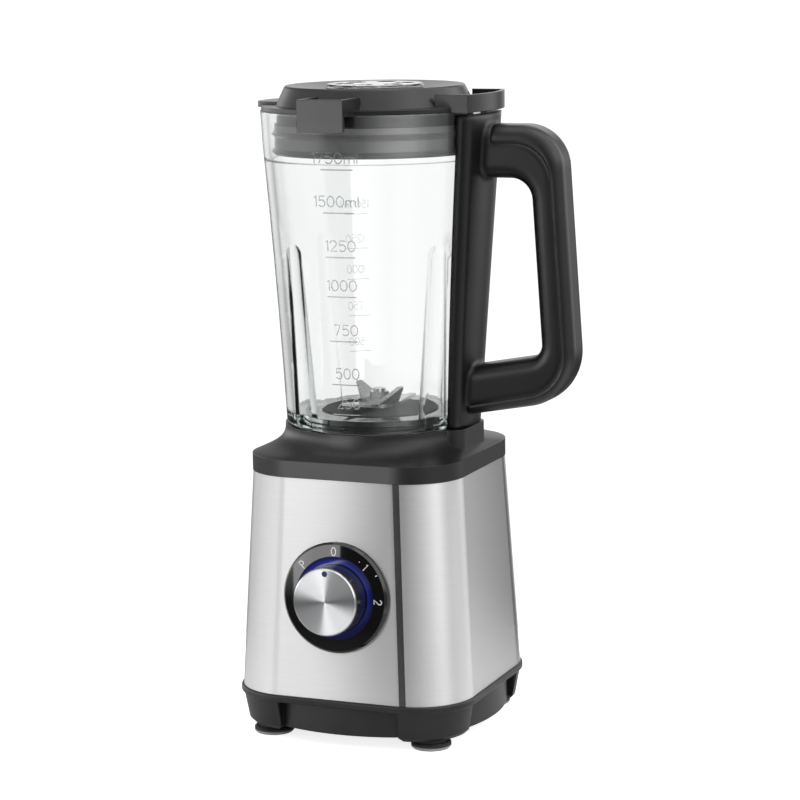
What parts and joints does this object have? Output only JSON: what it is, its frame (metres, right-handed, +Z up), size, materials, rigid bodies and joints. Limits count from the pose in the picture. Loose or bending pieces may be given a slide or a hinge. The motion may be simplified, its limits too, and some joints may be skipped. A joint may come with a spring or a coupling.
{
  "type": "countertop blender",
  "caption": "Countertop blender: fluted glass jar with side handle, lid and filler cap on a tapered steel motor base with a lit front dial; jar, lid and cap lift off.",
  "frame": {"origin": "on the counter plane under the middle of the whole outline, 28.3 mm towards the handle and 4 mm towards the dial from the jar's axis", "axes": "+Z up along the jar and motor axis, -Y out of the front towards the dial, +X towards the handle"},
  "size_m": [0.2187, 0.1859, 0.4206],
  "materials": {
    "black_plastic": "fine matte grain",
    "handle_plastic": "satin",
    "steel_sheet": "vertical brush",
    "seam_steel": "vertical brush",
    "foot_rubber": "matte",
    "seal_rubber": "matte",
    "dial_gloss": "polished",
    "light_blue": "translucent, lit",
    "circuit_green": "solder mask",
    "fastener_steel": "zinc plated",
    "moulding_dark": "matte",
    "lamination": "stacked sheets",
    "copper": "lacquered",
    "casting": "as cast",
    "bearing_bronze": "sintered",
    "carbon": "pressed carbon",
    "shaft_steel": "ground",
    "coupler_nylon": "matte",
    "knob_aluminium": "spun face",
    "pointer_blue": "satin",
    "jar_glass": "clear, pressed",
    "blade_steel": "ground",
    "cap_clear": "polished"
  },
  "bodies": {
    "base": {"bottom_tray": "black_plastic", "cord_gland": "seal_rubber", "steel_shell": "steel_sheet", "seam_strip": "seam_steel", "top_deck": "black_plastic", "tray_screws": "fastener_steel", "dial_plate": "dial_gloss", "light_ring": "light_blue", "control_board": "circuit_green", "ring_leds": "light_blue", "board_screws": "fastener_steel", "rotary_switch": "moulding_dark", "motor_stator": "lamination", "field_coils": "copper", "motor_upper_bracket": "casting", "motor_lower_bracket": "casting", "upper_bearing": "bearing_bronze", "lower_bearing": "bearing_bronze", "stator_bolts": "fastener_steel", "motor_mounts": "seal_rubber", "motor_screws": "fastener_steel", "brush_holders": "moulding_dark", "carbon_brushes": "carbon", "shaft_seal": "seal_rubber", "interlock_switch": "moulding_dark", "foot_front_left": "foot_rubber", "foot_front_right": "foot_rubber", "foot_rear_left": "foot_rubber", "foot_rear_right": "foot_rubber"},
    "rotor": {"rotor_shaft": "shaft_steel", "rotor_core": "lamination", "rotor_windings": "copper", "commutator": "copper", "cooling_fan": "moulding_dark", "drive_coupler": "coupler_nylon"},
    "knob": {"switch_shaft": "shaft_steel", "knob_body": "knob_aluminium", "knob_cap": "knob_aluminium", "knob_pointer": "pointer_blue"},
    "plunger": {"interlock_plunger": "moulding_dark"},
    "jar": {"glass_jar": "jar_glass", "jar_collar": "moulding_dark", "jar_gasket": "seal_rubber", "blade_holder": "moulding_dark", "lower_bush": "bearing_bronze", "upper_bush": "bearing_bronze", "handle_column": "handle_plastic", "handle_cover": "handle_plastic", "handle_screws": "fastener_steel"},
    "blades": {"blade_shaft": "shaft_steel", "driven_coupler": "coupler_nylon", "blade_washer": "blade_steel", "lower_blade": "blade_steel", "upper_blade": "blade_steel", "blade_nut": "blade_steel"},
    "lid": {"lid": "black_plastic", "lid_seal": "seal_rubber"},
    "cap": {"filler_cap": "cap_clear"}
  },
  "joints": [
    {"name": "jar_lift", "type": "slide", "parent": "base", "child": "jar", "axis": [0, 0, 1], "range_m": [0, 0.12]},
    {"name": "lid_lift", "type": "slide", "parent": "jar", "child": "lid", "axis": [0, 0, 1], "range_m": [0, 0.08]},
    {"name": "cap_lift", "type": "slide", "parent": "lid", "child": "cap", "axis": [0, 0, 1], "range_m": [0, 0.05]},
    {"name": "rotor_spin", "type": "hinge", "parent": "base", "child": "rotor", "pos_m": [-0.0283, 0.004, 0.112], "axis": [0, 0, 1], "continuous": true},
    {"name": "blade_spin", "type": "hinge", "parent": "jar", "child": "blades", "pos_m": [-0.0283, 0.004, 0.2], "axis": [0, 0, 1], "continuous": true},
    {"name": "knob_turn", "type": "hinge", "parent": "base", "child": "knob", "pos_m": [-0.0283, -0.07176, 0.0988], "axis": [0, -0.9985, 0.0541], "range_deg": [-90, 45]},
    {"name": "interlock_press", "type": "slide", "parent": "base", "child": "plunger", "axis": [0, 0, 1], "range_m": [-0.0015, 0], "stiffness_N_per_m": 300, "springref_m": 0.002}
  ],
  "couplings": [
    {"joint": "blade_spin", "follows": "rotor_spin", "ratio": 1}
  ]
}
